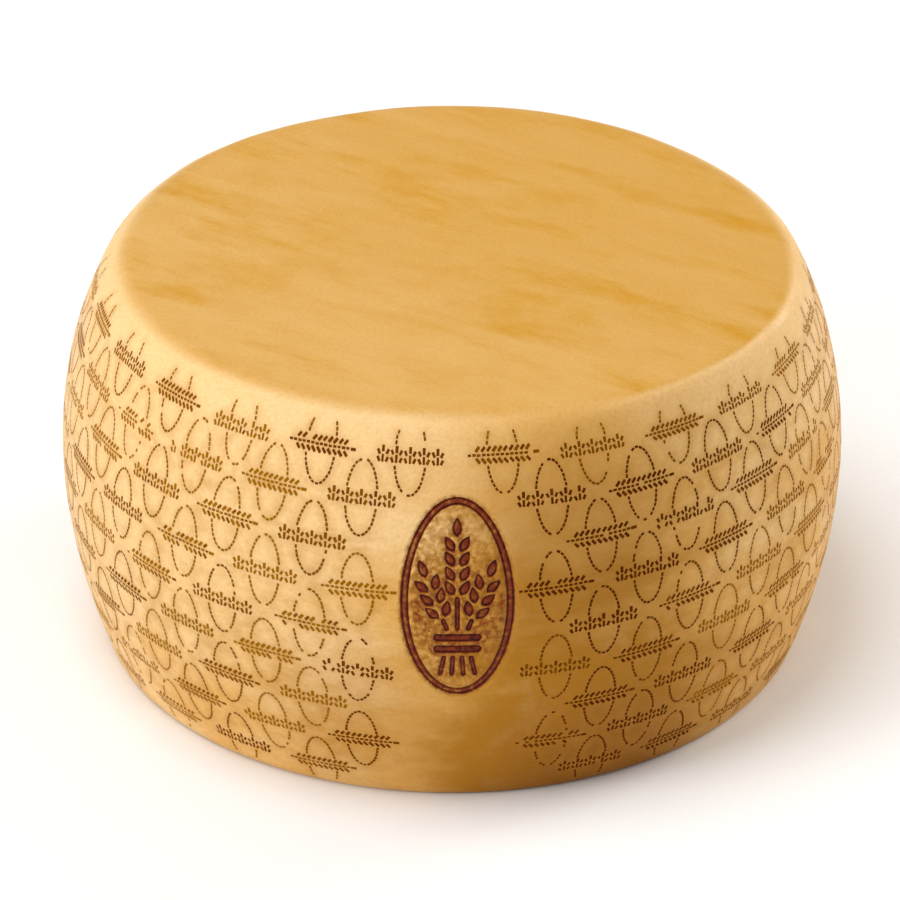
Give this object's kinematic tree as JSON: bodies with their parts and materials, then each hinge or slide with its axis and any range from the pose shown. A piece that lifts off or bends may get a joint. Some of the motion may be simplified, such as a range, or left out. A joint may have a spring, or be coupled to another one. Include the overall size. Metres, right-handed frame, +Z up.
{
  "type": "cheese wheel",
  "caption": "Whole wheel of hard aged cheese with a flat top and base, a bulging rind side and a soft upper rim.",
  "frame": {"origin": "centre of the flat base that the wheel rests on", "axes": "+Z up through the middle of the top face, -Y towards the side with the burnt oval mark, +X to the right of that mark seen from in front"},
  "size_m": [0.42, 0.42, 0.22],
  "materials": {
    "rind": "dry, lightly oiled aged cheese rind, golden cream, satin on top and finely grained on the side, with dark brown dotted prick marks and one burnt oval mark"
  },
  "bodies": {
    "root": {"cheese_wheel": "rind"}
  },
  "joints": []
}
